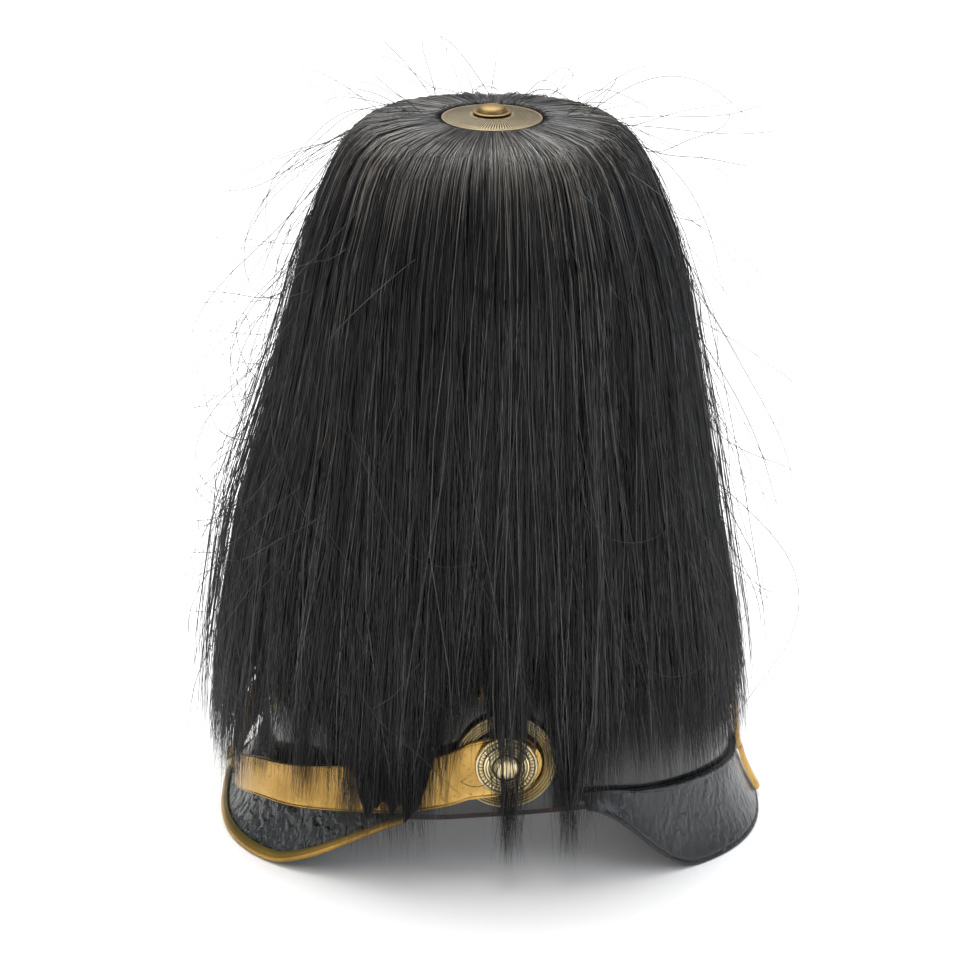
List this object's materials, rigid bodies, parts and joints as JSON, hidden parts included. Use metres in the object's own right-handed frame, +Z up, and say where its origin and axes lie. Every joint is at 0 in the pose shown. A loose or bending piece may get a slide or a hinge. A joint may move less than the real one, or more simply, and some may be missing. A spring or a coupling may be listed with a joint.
{
  "type": "pickelhaube with a falling horsehair parade plume",
  "caption": "Leather dress helmet with visor, neck guard, brass chin strap and side cockades, topped by a long falling black horsehair plume under a brass cap disc",
  "frame": {"origin": "middle of the helmet's whole footprint, on the surface it stands on", "axes": "-Y is the front of the helmet, +X is the wearer's left, +Z is up"},
  "size_m": [0.2208, 0.2892, 0.3753],
  "materials": {
    "black_leather": "black lacquered leather, glossy on the skull, crazed on the visor and guard",
    "brown_leather": "worn brown leather",
    "gold_brass": "smooth gilt brass",
    "aged_brass": "brass with dark patina in its recesses",
    "pale_brass": "dull pale brass",
    "horsehair": "straight black horsehair with a grey sheen"
  },
  "bodies": {
    "root": {"shell": "black_leather", "sweatband": "brown_leather", "front_visor": "black_leather", "visor_trim": "gold_brass", "neck_guard": "black_leather", "rear_spine": "gold_brass", "chin_strap": "gold_brass", "strap_buckle": "aged_brass", "cockade_left": "aged_brass", "cockade_right": "aged_brass", "rosette_left": "aged_brass", "rosette_right": "aged_brass", "side_stud_left": "gold_brass", "side_stud_right": "gold_brass", "front_plate": "aged_brass", "plume_base": "aged_brass", "plume_holder": "aged_brass", "plume": "horsehair", "cap_disc": "pale_brass", "cap_button": "pale_brass"}
  },
  "joints": []
}
